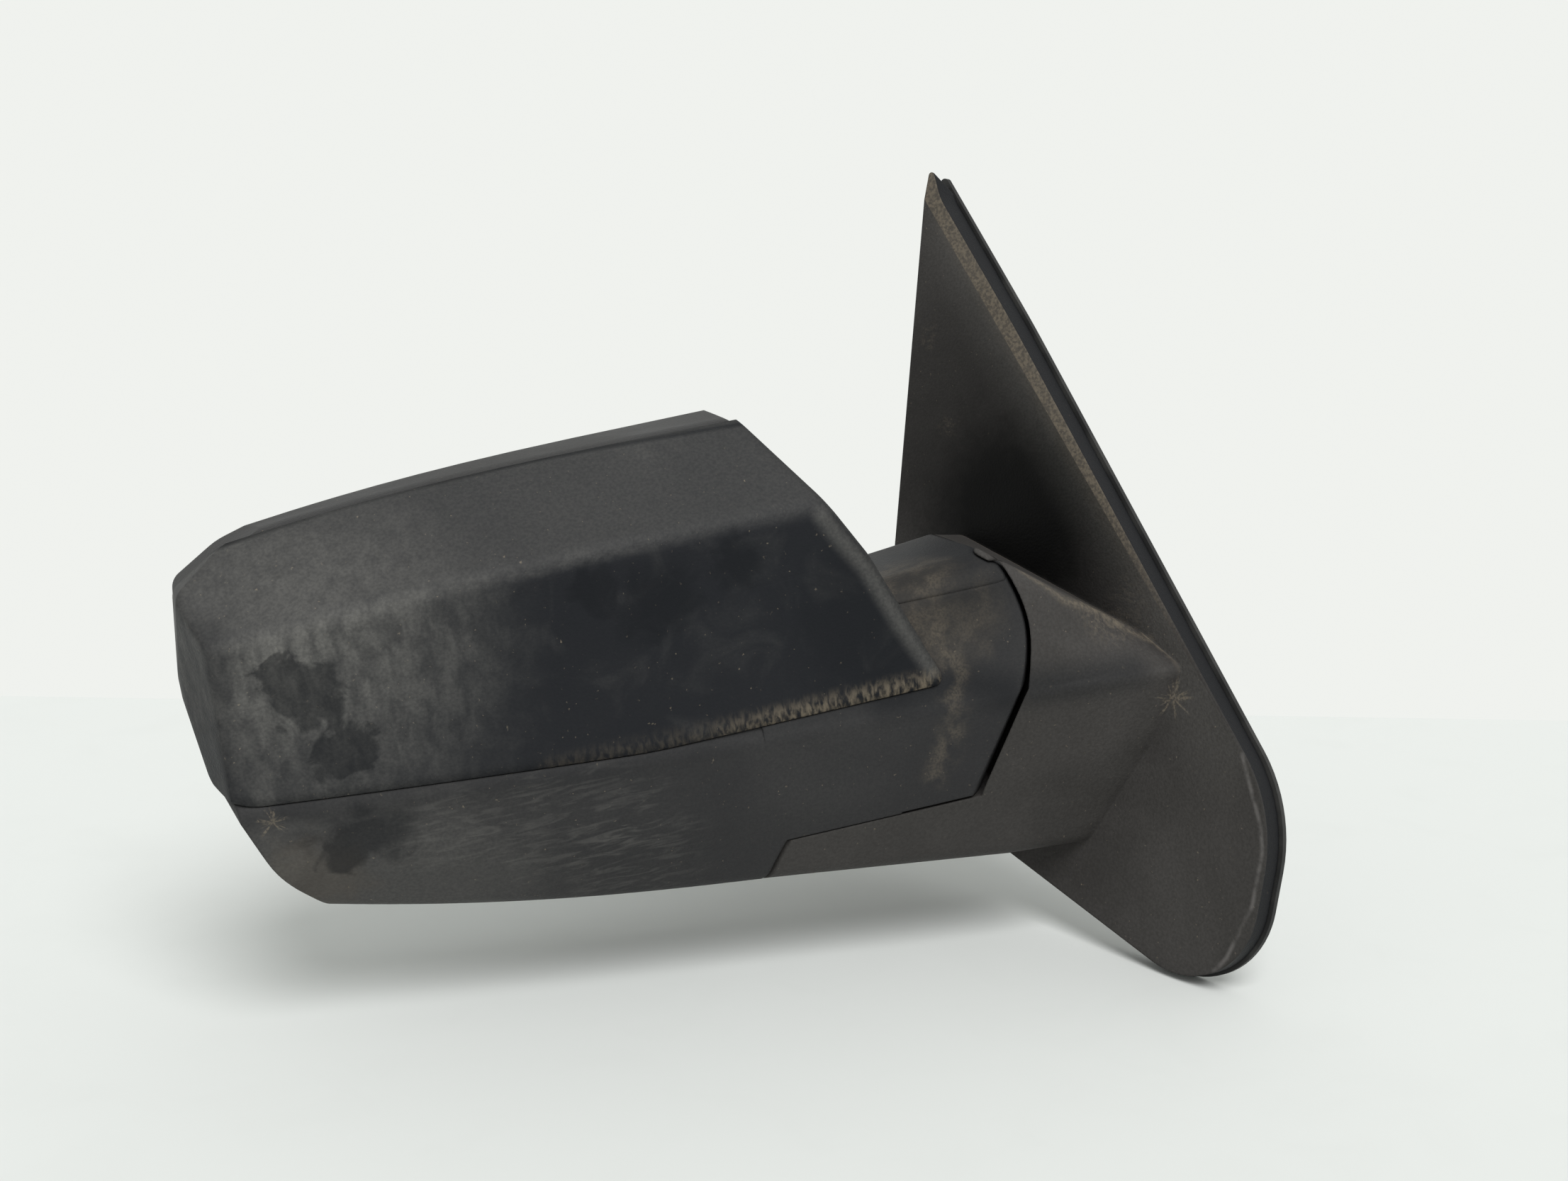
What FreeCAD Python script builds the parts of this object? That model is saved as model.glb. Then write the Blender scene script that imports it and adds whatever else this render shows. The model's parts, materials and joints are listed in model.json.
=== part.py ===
import FreeCAD, Part
import math
import os

# Door mirror of a pickup or large SUV, right-hand side, in millimetres.
# Frame: +X inboard towards the door, -Y vehicle forward, +Z up. The origin is the centre of
# the stud circle, on the plane where the base meets the door.

V = FreeCAD.Vector

# ---- driving dimensions: stance -------------------------------------------------------------
DOOR_LEAN = 15.7            # degrees the door skin leans inboard at the top
FACE_LEAN = 15.0            # degrees the visible face of the sail leans
FACE_STANDOFF = 14.3        # sail face to the door, level with the studs
HEAD_SWEEP = 25.0           # degrees the head is swept rearward
HEAD_X, HEAD_Y = -10.3, -66.0   # nose of the foot, where the head's stations start

# ---- driving dimensions: base ---------------------------------------------------------------
COVER_WALL = 2.6
COVER_BOSS_R = 5.0
GASKET_THICK = 2.6
GASKET_GAP = 1.0            # shadow gap between cover and gasket
GASKET_LIP = 1.6            # how far the gasket shows past the cover
GASKET_BAND = 9.0
STUD_CIRCLE = 110.0         # pitch circle of the door studs
STUD_COUNT = 3
STUD_R = 3.0
STUD_ROOT_R = 3.8           # pressed root of a stud, inside the plate
STUD_LENGTH = 24.0
PLATE_THICK = 5.0
BOSS_R = 8.5
RIB_THICK = 3.0
INLET_R = 13.0              # harness opening through the base plate
GROMMET_LIP = 2.5
BORE_R = 7.0                # harness bore of the grommet

# ---- driving dimensions: fold joint ---------------------------------------------------------
PIVOT_S, PIVOT_DEPTH = 137.0, 50.0    # station and depth of the fold axis
FOLD_GAP = 2.2              # visible gap between foot and neck
CONE_EASE = 1.2             # the gap is wider by this along the cone
FOLD_CLEAR = 60.0           # radius the neck's rear corner sweeps low down as the head folds
FLOOR_Z = -19.0             # middle of the level gap under the neck
FLOOR_GAP = 1.4
ARM_END_R = 62.0            # radius of the arm's round end at the level gap
ARM_END_SLOPE = 0.2         # it widens downward
SEAT_R = 26.0
WASHER_THICK = 1.6
POST_R = 13.0
POST_BORE = 8.0
POST_TOP = 66.0
HUB_R = 24.0
HUB_TOP = 14.0
RUNNING_FIT = 0.08          # radial, post in hub
SMALLEST_ROUND = 0.8        # a corner is never sharper than this
SPRING_WIRE = 4.0
SPRING_COILS = 5
RETAINER_THICK = 4.0

# ---- driving dimensions: head ---------------------------------------------------------------
HEAD_WALL = 2.6
RIM_WALL = 6.0              # wall of the rear lip round the glass
RIM_DEPTH = 14.0
RIM_AT = 96.0               # depth of the rear rim at station 200, height 70
RIM_TAPER = 0.10            # the rim comes forward outboard and upward
PART_DEPTH = 43.0           # joint between the front pieces and the rear housing
PART_Z = 79.0               # joint along the neck
CAP_WALL = 2.6
CAP_PROUD = 1.5             # how far the cap stands past the end of the head
CAP_EDGE = 1.2              # radius on the rim of the cap's front skin
HEAD_END = 434.3            # outboard end of the head

# ---- driving dimensions: glass and its drive ------------------------------------------------
GLASS_GAP = 3.4             # glass to rim, all round
GLASS_RECESS = 7.0
GLASS_THICK = 2.2
HEATER_THICK = 0.6
CARRIER_THICK = 2.2
GLASS_S, GLASS_Z = 306.0, 70.0   # middle of the glass
PIVOT_BACK = 17.0           # glass pivot in front of the mirror surface
DRIVE_R = 44.0              # actuator housing
DRIVE_DEPTH = 25.0
PLUNGER_OFFSET = 30.0       # drive screws from the middle
PLUNGER_R = 4.0
BALL_R = 4.5
BALL_SLACK = 0.8
FRAME_FRONT, FRAME_BACK = 17.0, 21.0    # depths of the head frame's plate
SCREW_PLACES = [(224, 22), (336, 32)]   # housing screws, station and height


def lean_frame(angle, standoff):
    """Frame on a leaning plane: x forward, y up the plane, z outward."""
    a = math.radians(angle)
    turn = FreeCAD.Rotation(V(0, -1, 0), V(math.sin(a), 0, math.cos(a)),
                            V(-math.cos(a), 0, math.sin(a)), "ZXY")
    return FreeCAD.Placement(V(-standoff, 0, 0), turn)


DOOR = lean_frame(DOOR_LEAN, 0.0)
FACE = lean_frame(FACE_LEAN, FACE_STANDOFF)
HEAD = FreeCAD.Placement(V(HEAD_X, HEAD_Y, 0), FreeCAD.Rotation(V(0, 0, 1), -HEAD_SWEEP))


def at(station, depth, height):
    """Point of the head: station outboard, depth rearward, height up, in the part's frame."""
    return HEAD.multVec(V(-station, depth, height))


AXIS_X, AXIS_Y = at(PIVOT_S, PIVOT_DEPTH, 0).x, at(PIVOT_S, PIVOT_DEPTH, 0).y


# ---- outlines -------------------------------------------------------------------------------
def rounded(points, close=True):
    """Closed wire of straight runs and corner arcs, from (vector, radius) pairs."""
    count = len(points)
    corners = []
    for i in range(count):
        before, here, after = points[i - 1][0], points[i][0], points[(i + 1) % count][0]
        radius = max(points[i][1], SMALLEST_ROUND)
        toward_before = (before - here).normalize()
        toward_after = (after - here).normalize()
        half = toward_before.getAngle(toward_after) / 2
        reach = radius / math.tan(half)
        bisector = (toward_before + toward_after).normalize()
        middle = here + bisector * (radius / math.sin(half) - radius)
        corners.append((here + toward_before * reach, middle, here + toward_after * reach))
    edges = []
    for i in range(count):
        start, middle, end = corners[i]
        edges.append(Part.Arc(start, middle, end).toShape())
        edges.append(Part.LineSegment(end, corners[(i + 1) % count][0]).toShape())
    return Part.Wire(edges)


def prism(wire, direction):
    return Part.Face(wire).extrude(direction)


def cylinder(radius, low, high, x=None, y=None):
    """Upright cylinder between two heights, on the fold axis unless placed."""
    x = AXIS_X if x is None else x
    y = AXIS_Y if y is None else y
    return Part.makeCylinder(radius, high - low, V(x, y, low))


def slab(stations, depths, heights):
    """Block in the head's frame, given by its ranges."""
    box = Part.makeBox(stations[1] - stations[0], depths[1] - depths[0],
                       heights[1] - heights[0], V(-stations[1], depths[0], heights[0]))
    box.Placement = HEAD
    return box


def largest(shape):
    return max(shape.Solids, key=lambda s: s.Volume)


def one(shape):
    """The largest solid of a result, cleaned of split faces."""
    return largest(shape).removeSplitter()


# ---- lines that the head follows, by station -------------------------------------------------
def ridge_z(s):
    return 27 + 0.055 * (s - 76) + 0.00005 * (s - 76) * abs(s - 76)


def crease_z(s):
    return 135 - 9 * (max(s - 230, 0) / 195) ** 2


def top_z(s):
    return 169.8 - 0.00037 * max(s - 250, 0) ** 2


def neck_top(s):
    return 92.5 - 0.09 * (s - 85)


def belly_z(s):
    if s < 200:
        return -41 - 0.165 * (200 - s)
    return -41 + 0.115 * (s - 200) + 0.00041 * (s - 200) ** 2


def front_depth(s):
    """The front bows rearward towards the outboard end."""
    return 10 * (max(s - 230, 0) / 195) ** 2


def rim_depth(s, z):
    return RIM_AT - RIM_TAPER * (s - 200) - RIM_TAPER * (z - 70)


# ---- forms ----------------------------------------------------------------------------------
BELLY_DEPTH = 28.0
BOW = 4.5                   # how far the lower front facet bows forward
FOOT_SINK = 1.2             # the foot starts this far under the sail's face


def neck_section(s, w):
    """Section of the neck at a station, w inside its skin."""
    low, top = belly_z(s), neck_top(s)
    shoulder = 8 + 0.09 * s
    corners = [((w, ridge_z(s)), 8), ((12 + w, top - w), shoulder - w),
               ((98 - w, top - 6 - w), 18 - w), ((100 - w, low + 6 + w), 14 - w),
               ((BELLY_DEPTH + w, low + w), 12 - w),
               ((BELLY_DEPTH / 2 - BOW + w, (low + ridge_z(s)) / 2), 80)]
    return rounded([(at(s, d, z), r) for (d, z), r in corners])


def foot_section(w):
    """Footprint of the foot on the sail's face, w inside its skin."""
    corners = [((70 - w, 24), 6), ((45, 36.5 - w), 10 - w), ((-92 + w, 80 - w), 18 - w),
               ((-94 + w, -40 + w), 14 - w), ((20 - w, -69 + w), 12 - w), ((60 - w, -6), 80)]
    sunk = FOOT_SINK + 0.8 * w
    return rounded([(FACE.multVec(V(x, y, -sunk)), r) for (x, y), r in corners])


def neck_form(w):
    """Foot and neck as one form, from the sail to inside the head."""
    rings = [foot_section(w)] + [neck_section(s, w) for s in (80, 222)]
    return Part.makeLoft(rings, True, True)


def head_section(s, w):
    """Section of the head behind the cap, w inside its skin."""
    front = front_depth(s) + w
    low = belly_z(s) + w
    top = top_z(s) - w
    belly = BELLY_DEPTH + front_depth(s) / 2
    corners = [((front, ridge_z(s)), 8), ((front + 4.5, ridge_z(s) + 10), 6),
               ((front - 2, crease_z(s) - w), 16), ((42 + w, top), 24 - w),
               ((100, top - 3), 8 - w), ((104, low + 3), 8 - w), ((belly + w, low), 12 - w),
               (((front_depth(s) + belly) / 2 - BOW + w, (low + ridge_z(s)) / 2), 80)]
    return rounded([(at(s, d, z), r) for (d, z), r in corners])


def end_corners(w):
    """Corners of the outboard end seen from the front."""
    return [((300, 187 - w), 3), ((HEAD_END - 26.5 - w, 157 - w), 30),
            ((HEAD_END - 5.5 - w, 144.5 - w / 2), 8), ((HEAD_END - w, 104), 60),
            ((HEAD_END - 4 - w, 67), 20), ((HEAD_END - 22 - w, 17 + w / 2), 60),
            ((HEAD_END - 40.5 - w, -2.5 + w), 25), ((300, -60 + w), 30)]


def front_prism(corners):
    """Prism through the whole depth of the head."""
    face = rounded([(at(s, -40, z), r) for (s, z), r in corners])
    return prism(face, at(0, 180, 0) - at(0, 0, 0))


def outline_front(w):
    """The head seen from the front."""
    inboard = [((115 + w, -60 + w), 3), ((115 + w, 40), 3), ((144.5 + w, 108), 60),
               ((183 + w, 171 - w), 14)]
    return front_prism(inboard + end_corners(w))


def outline_plan(w):
    """The head seen from above: its end face runs in towards the rear."""
    corners = [((100, -30), 3), ((HEAD_END - 36 - w, 0 + w), 3), ((HEAD_END - 12 - w, 6 + w), 8),
               ((HEAD_END - w, 40), 40), ((HEAD_END - 8 - w, 140), 3), ((100, 140), 3)]
    face = rounded([(at(s, d, -80), r) for (s, d), r in corners])
    return prism(face, V(0, 0, 300))


def rim_half(shift):
    """Everything in front of the rear rim plane, moved forward by shift."""
    corners = [(60, -90), (460, -90), (460, 230), (60, 230)]
    ring = [at(s, rim_depth(s, z) - shift, z) for s, z in corners]
    return Part.Face(Part.makePolygon(ring + ring[:1])).extrude(at(0, -200, 0) - at(0, 0, 0))


def head_form(w):
    """Main body of the head, w inside its skin."""
    rings = [head_section(s, w) for s in (110, 175, 240, 305, 370, 440)]
    form = Part.makeLoft(rings, True, False)
    return form.common(outline_front(w)).common(outline_plan(w))


def cap_section(s, w):
    """Section of the cap's skin, w inside it."""
    front = front_depth(s) + w
    corners = [((front + 1.5, ridge_z(s) - 4), 2), ((front - 6, crease_z(s) - w / 2), 14),
               ((42 + w, top_z(s) - w + 0.6), 24 - w), ((90, top_z(s) - w - 3), 3),
               ((90, ridge_z(s) - 4), 3)]
    return rounded([(at(s, d, z), r) for (d, z), r in corners])


def barrel(grow, ease=0.0):
    """Turned form of the fold joint: a cone, ease larger, under a rounded shoulder."""
    cone_low, cone_top = (51.0 + ease, -20.0), (77.0 + ease, 29.5)
    slope = (cone_top[0] - cone_low[0]) / (cone_top[1] - cone_low[1])
    start = (cone_low[0] - slope * 60 + grow, cone_low[1] - 60)
    shoulder = [cone_top, (79.9, 46), (79.8, 57), (77.4, 68.5), (74.0, 78), (68.6, 86),
                (59.5, 91), (50, 98)]
    points = [V(r + grow, 0, z) for r, z in shoulder]
    curve = Part.BSplineCurve()
    curve.interpolate(points)
    edges = [Part.LineSegment(V(0, 0, start[1]), V(start[0], 0, start[1])).toShape(),
             Part.LineSegment(V(start[0], 0, start[1]), points[0]).toShape(),
             curve.toShape(),
             Part.LineSegment(points[-1], V(0, 0, points[-1].z)).toShape(),
             Part.LineSegment(V(0, 0, points[-1].z), V(0, 0, start[1])).toShape()]
    solid = Part.Face(Part.Wire(edges)).revolve(V(0, 0, 0), V(0, 0, 1), 360)
    solid.translate(V(AXIS_X, AXIS_Y, 0))
    return solid


# ---- zones of the fold joint ----------------------------------------------------------------
def inboard_block():
    """Everything inboard of the fold axis."""
    return slab((-120, PIVOT_S), (-100, 240), (-140, 260))


def arm_end(level, grow):
    """Round end of the foot's arm, up to a level."""
    end = Part.makeCone(ARM_END_R + 80 * ARM_END_SLOPE + grow, ARM_END_R + grow, 80,
                        V(AXIS_X, AXIS_Y, FLOOR_Z - 80))
    return end.common(below(level))


def below(level):
    return slab((-200, 400), (-160, 300), (-160, level))


def fixed_part(form, w):
    """The share of the neck form that stays with the foot, w inside its skin."""
    level = FLOOR_Z - FLOOR_GAP / 2 - w
    inboard = form.common(inboard_block())
    behind = cylinder(FOLD_CLEAR + w, -60, 20).common(
        slab((-120, 300), (PIVOT_DEPTH, 260), (-60, 20)))
    arm = form.common(below(level)).common(arm_end(level, -w))
    upper = inboard.cut(barrel(FOLD_GAP + w, CONE_EASE)).cut(behind)
    return upper.fuse(inboard.common(below(level))).fuse(arm)


def moving_part(form, w):
    """The share of a form that folds with the head, w inside its skin."""
    level = FLOOR_Z + FLOOR_GAP / 2 + w
    keep = form.cut(inboard_block().cut(barrel(-w)))
    return keep.cut(arm_end(level, FOLD_GAP + w)).cut(inboard_block().common(below(level)))


NECK_END = 200.0


def head_body(w):
    """Neck and head as one form, w inside its skin."""
    neck = neck_form(w).common(slab((0, NECK_END), (-60, 240), (-140, 260)))
    outboard = slab((NECK_END, 500), (-60, 240), (-140, 260))
    raised = slab((60, NECK_END), (-60, 240), (60, 260))
    head = head_form(w).common(outboard.fuse(raised))
    return moving_part(neck.fuse(head), w)


# ---- base pieces ----------------------------------------------------------------------------
SAIL = [((-48.4, 180), 900), ((124.6, -34.5), 70), ((112.4, -135.3), 41), ((-122, -44), 20)]
COVER_TIP = [((-110.9, 261.5), 1.6), ((-102, 243), 30)]     # the cover pinches in under its tip
PLATE_TIP = [((-112.6, 255), 1.2)]
BEVEL_LINE = ((-104.9, 234.9), (107.7, -13.9))      # where the front edge starts to fall away
BEVEL_ANGLE = 12.0


def sail_prism(grow, top, tip=COVER_TIP):
    """The sail's outline grown by grow, from top millimetres under its face to the door."""
    wire = rounded([(FACE.multVec(V(x, y, -top)), r) for (x, y), r in tip + SAIL])
    if grow:
        wire = wire.makeOffset2D(grow)
    return prism(wire, FACE.multVec(V(0, 0, -60)) - FACE.multVec(V(0, 0, 0)))


def bevel_block():
    """What the bevel along the sail's front edge takes off."""
    (x0, y0), (x1, y1) = BEVEL_LINE
    length = math.hypot(x1 - x0, y1 - y0)
    out = ((y0 - y1) / length, (x1 - x0) / length)
    fall = 40 * math.tan(math.radians(BEVEL_ANGLE))
    start = (x0 - (x1 - x0) / 4, y0 - (y1 - y0) / 4)
    corners = [FACE.multVec(V(start[0] + out[0] * reach, start[1] + out[1] * reach, z))
               for reach, z in ((0, 0), (40, -fall), (40, 5), (0, 5), (0, 0))]
    along = FACE.multVec(V(x1, y1, 0)) - FACE.multVec(V(x0, y0, 0))
    return Part.Face(Part.makePolygon(corners)).extrude(along * 1.5)


def tip_block():
    """What the slanted end of the cover's tip takes off, behind the face."""
    corners = [FACE.multVec(V(-200, y, z)) for y, z in
               ((259.5, 1), (275, 1), (275, -20), (240, -20), (259.5, 1))]
    return Part.Face(Part.makePolygon(corners)).extrude(V(0, -200, 0))


def door_layer(low, high):
    """Layer parallel to the door, between two distances from it."""
    box = Part.makeBox(600, 700, high - low, V(-300, -350, low))
    box.Placement = DOOR
    return box


def on_door(x, y, low, radius, height):
    """Cylinder square to the door."""
    post = Part.makeCylinder(radius, height, V(x, y, low))
    post.Placement = DOOR
    return post


COVER_BACK = GASKET_THICK + GASKET_GAP
COVER_SCREWS = [(-88, 150), (88, -70), (-92, -28)]
STUD_PLACES = [(STUD_CIRCLE / 2 * math.cos(math.radians(90 + i * 360 / STUD_COUNT)),
                STUD_CIRCLE / 2 * math.sin(math.radians(90 + i * 360 / STUD_COUNT)))
               for i in range(STUD_COUNT)]
INLET = (-62, 62)
SEAT_Z = FLOOR_Z - 1.0
HUB_LOW = SEAT_Z + WASHER_THICK
DISC_LOW = -36.0
DISC_R = 34.0


def sail_cover():
    """Sail, foot and arm moulded as one open-backed cover."""
    w = COVER_WALL
    sail = sail_prism(0, 0).common(door_layer(COVER_BACK, 80))
    sail_hollow = sail_prism(-w, w).common(door_layer(-5, 80))
    foot = fixed_part(neck_form(0), 0)
    foot_hollow = fixed_part(neck_form(w), w)
    sail = sail.cut(bevel_block()).cut(tip_block())
    cover = sail.fuse(foot).cut(sail_hollow.fuse(foot_hollow))
    for x, y in COVER_SCREWS:
        boss = on_door(x, y, PLATE_THICK, COVER_BOSS_R, 40).common(sail_prism(-1, 1))
        cover = cover.fuse(boss).cut(on_door(x, y, 0, 1.9, 12))
    cover = cover.cut(cylinder(SEAT_R + 1, FLOOR_Z - FLOOR_GAP / 2 - COVER_WALL - 1.2, FLOOR_Z))
    return one(cover)


def gasket():
    """Rubber seal round the back of the cover."""
    ring = sail_prism(GASKET_LIP, 0, PLATE_TIP).cut(sail_prism(-GASKET_BAND, -5))
    lip = sail_prism(-COVER_WALL - 0.2, 0).cut(sail_prism(-GASKET_BAND, -5))
    return one(ring.common(door_layer(0, GASKET_THICK))
               .fuse(lip.common(door_layer(GASKET_THICK, COVER_BACK + 3))))


def arm_form(wall, deepen):
    """Tapering form from the plate to the pivot seat, wall inside and open below."""
    root = rounded([(FACE.multVec(V(x, y, -9)), 4)
                    for x, y in ((38 - wall, -wall), (-52 + wall, 26 - wall),
                                 (-66 + wall, -34 - deepen), (22 - wall, -46 - deepen))])
    tip = rounded([(at(s, d, z), 4) for s, d, z in
                   ((PIVOT_S - 25, 30 + wall, -24 - wall), (PIVOT_S - 25, 76 - wall, -24 - wall),
                    (PIVOT_S - 25, 76 - wall, DISC_LOW - deepen),
                    (PIVOT_S - 25, 30 + wall, DISC_LOW - deepen))])
    return Part.makeLoft([root, tip], True, True)


def base_arm():
    """Cast arm from the plate out to the pivot seat, a channel open underneath."""
    arm = arm_form(0, 0).cut(arm_form(4, 14))
    return arm.fuse(cylinder(DISC_R, DISC_LOW, -24))


def base_plate():
    """Die-cast bracket: ribbed plate, stud bosses, arm and pivot seat."""
    plate = sail_prism(-GASKET_BAND, -5).common(door_layer(0, PLATE_THICK))
    rim = sail_prism(-GASKET_BAND, -5).cut(sail_prism(-GASKET_BAND - RIB_THICK, -5))
    body = plate.fuse(rim.common(door_layer(0, PLATE_THICK + 3)))
    room = fixed_part(neck_form(COVER_WALL), COVER_WALL)
    room = room.fuse(sail_prism(-COVER_WALL, COVER_WALL))
    body = body.fuse(base_arm().common(room))
    body = body.fuse(cylinder(SEAT_R, DISC_LOW + 1, SEAT_Z))
    for x, y in STUD_PLACES:
        body = body.fuse(on_door(x, y, 0, BOSS_R, PLATE_THICK + 4))
    for x0, y0, x1, y1 in ((-92, 190, 0, 55), (0, 55, 47, -27), (0, 55, -92, -20),
                           (47, -27, 96, -84)):
        length = math.hypot(x1 - x0, y1 - y0)
        rib = Part.makeBox(length, RIB_THICK, 4, V(0, -RIB_THICK / 2, PLATE_THICK - 1))
        rib.rotate(V(0, 0, 0), V(0, 0, 1), math.degrees(math.atan2(y1 - y0, x1 - x0)))
        rib.translate(V(x0, y0, 0))
        rib.Placement = DOOR.multiply(rib.Placement)
        body = body.fuse(rib.common(sail_prism(-GASKET_BAND - 1, -5)))
    body = body.cut(cylinder(POST_R, -60, 0))
    body = body.cut(on_door(INLET[0], INLET[1], -5, INLET_R, 40))
    for x, y in STUD_PLACES:
        body = body.cut(on_door(x, y, -5, STUD_ROOT_R, PLATE_THICK + 7))
    for x, y in COVER_SCREWS:
        body = body.cut(on_door(x, y, -5, 2.2, 40)).cut(on_door(x, y, -5, 4.4, 7.5))
        body = body.cut(on_door(x, y, PLATE_THICK, COVER_BOSS_R + 0.4, 20))
    return largest(body)


def door_studs():
    """Three plain studs pressed into the plate."""
    studs = []
    for x, y in STUD_PLACES:
        root = on_door(x, y, 0, STUD_ROOT_R, PLATE_THICK + 2)
        studs.append(one(root.fuse(on_door(x, y, -STUD_LENGTH, STUD_R, STUD_LENGTH + 1))))
    return Part.makeCompound(studs)


def cover_screws():
    """Screws from the back of the plate into the cover's bosses."""
    screws = []
    for x, y in COVER_SCREWS:
        shank = on_door(x, y, 2.5, 1.9, 9.0)
        head = on_door(x, y, 0.3, 4.0, 2.2)
        screws.append(one(shank.fuse(head)))
    return Part.makeCompound(screws)


def wire_grommet():
    """Rubber inlet for the harness, through the base plate."""
    x, y = INLET
    body = on_door(x, y, -7, INLET_R - 2, 7).fuse(on_door(x, y, 0, INLET_R, PLATE_THICK))
    body = body.fuse(on_door(x, y, PLATE_THICK, INLET_R + 3, GROMMET_LIP))
    return one(body.cut(on_door(x, y, -20, BORE_R, 60)))


# ---- fold joint -----------------------------------------------------------------------------
def pivot_post():
    """Hollow steel post: flange under the seat, wiring passes through."""
    post = cylinder(POST_R, DISC_LOW - 2.5, POST_TOP).fuse(
        cylinder(POST_R + 5, DISC_LOW - 2.5, DISC_LOW))
    return one(post.cut(cylinder(POST_BORE, -80, 100)))


def thrust_washer():
    return cylinder(SEAT_R - 1, SEAT_Z, HUB_LOW).cut(cylinder(POST_R, -60, 60))


SPRING_TOP = POST_TOP - 2 - RETAINER_THICK


def fold_spring():
    """Coil spring with ground ends, between the hub and the retainer."""
    radius = POST_R + 2 + SPRING_WIRE / 2
    low, high = HUB_TOP + 0.3 + 0.8, SPRING_TOP - 0.8
    steps = SPRING_COILS * 12
    rings = []
    for i in range(steps + 1):
        ring = Part.makePolygon([V(radius + SPRING_WIRE / 2 * math.cos(a), 0,
                                   SPRING_WIRE / 2 * math.sin(a))
                                 for a in (math.radians(60 * k + 30) for k in range(7))])
        ring.rotate(V(0, 0, 0), V(0, 0, 1), 360 * SPRING_COILS * i / steps)
        ring.translate(V(AXIS_X, AXIS_Y, low + (high - low) * i / steps))
        rings.append(ring)
    coil = Part.makeLoft(rings, True, True)
    return largest(coil.common(cylinder(radius + 6, HUB_TOP + 0.3, SPRING_TOP)))


def spring_retainer():
    """Swaged retainer on top of the post."""
    ring = cylinder(POST_R + 7, SPRING_TOP, SPRING_TOP + RETAINER_THICK)
    return ring.cut(cylinder(POST_R, 0, 100))


# ---- head mouldings -------------------------------------------------------------------------
CAP_OUTLINE = [((112, 41), 4), ((250, 41.5), 300), ((HEAD_END - 8, 56), 24),
               ((HEAD_END + 8, 84), 2), ((HEAD_END + 8, 190), 2), ((189.8, 186), 14),
               ((142.5, 108), 60)]


def cap_zone(grow):
    face = rounded([(at(s, -60, z), r) for (s, z), r in CAP_OUTLINE])
    if grow:
        face = face.makeOffset2D(grow)
    return prism(face, at(0, 60 + PART_DEPTH, 0) - at(0, 0, 0))


def cap_form(w):
    rings = [cap_section(s, w) for s in (100, 175, 240, 305, 370, 440)]
    end = front_prism([((60, -60), 3), ((60, 220), 3)] + end_corners(w - CAP_PROUD))
    return Part.makeLoft(rings, True, False).common(outline_plan(w - CAP_PROUD)).common(end)


def cap_shell(extra):
    """The cap's skin over the whole front, thickened inward by extra."""
    w = CAP_WALL + extra
    return cap_form(0).cut(cap_form(w))


def front_cap():
    cap = one(cap_shell(0).common(cap_zone(0)))
    skin = max(cap.Faces, key=lambda face: face.Area)
    rim = min(skin.Edges, key=lambda edge: edge.CenterOfMass.z)
    return cap.makeFillet(CAP_EDGE, [rim])


def rear_zone():
    outboard = slab((NECK_END - RIM_WALL, 500), (PART_DEPTH, 240), (-140, 260))
    neck = slab((0, NECK_END - RIM_WALL), (-60, 240), (PART_Z, 260))
    return outboard.fuse(neck)


def low_zone():
    outboard = slab((NECK_END - RIM_WALL, 500), (-60, PART_DEPTH), (-140, 260))
    neck = slab((0, NECK_END - RIM_WALL), (-60, 240), (-140, PART_Z))
    return outboard.fuse(neck).cut(cap_zone(-8).common(slab((NECK_END, 500), (-90, 60),
                                                            (0, 260))))


def head_shell():
    """Skin of the whole head with the opening for the glass."""
    w = HEAD_WALL
    lip = head_form(RIM_WALL).common(slab((NECK_END + RIM_WALL, 500), (PART_DEPTH, 240),
                                          (-140, 260)))
    deep = head_body(w).common(rim_half(RIM_DEPTH))
    skin = head_body(0).common(rim_half(0)).cut(deep).cut(lip)
    return skin.cut(cylinder(HUB_R + 1.5, -60, 30))


def lower_housing(skin, cap):
    """Front lower half, with the bosses that the frame is screwed to."""
    body = skin.common(low_zone())
    inside = head_form(HEAD_WALL / 2)
    for s, z in SCREW_PLACES:
        boss = Part.makeCylinder(BOSS_R / 2, FRAME_FRONT + 20, at(s, -20, z),
                                 at(0, 1, 0) - at(0, 0, 0))
        body = body.fuse(boss.common(inside))
    for screw in housing_screws().Solids:
        body = body.cut(screw)
    return one(body.cut(cap))


def rear_housing(skin, cap):
    return one(skin.common(rear_zone()).cut(cap))


# ---- glass frame: x outboard, y up, z rearward, on the rim's plane --------------------------
def rim_frame():
    origin = at(GLASS_S, rim_depth(GLASS_S, GLASS_Z), GLASS_Z)
    across = (at(1, -RIM_TAPER, 0) - at(0, 0, 0)).normalize()
    up = at(0, -RIM_TAPER, 1) - at(0, 0, 0)
    back = across.cross(up).normalize()
    return FreeCAD.Placement(origin, FreeCAD.Rotation(across, back.cross(across), back, "ZXY"))


RIM = rim_frame()
PIVOT_Z = -GLASS_RECESS - PIVOT_BACK
DRIVE_BACK = PIVOT_Z - 9.0
DRIVE_FRONT = DRIVE_BACK - DRIVE_DEPTH
CARRIER_BACK = -GLASS_RECESS - GLASS_THICK - HEATER_THICK
PIN_R = 2.0
FORK_NEAR, FORK_FAR = 8.0, 12.0
PLUNGERS = {"pan": (PLUNGER_OFFSET, 0.0), "tilt": (0.0, PLUNGER_OFFSET)}


def rim_cylinder(radius, low, high, x=0.0, y=0.0):
    post = Part.makeCylinder(radius, high - low, V(x, y, low))
    post.Placement = RIM
    return post


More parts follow.
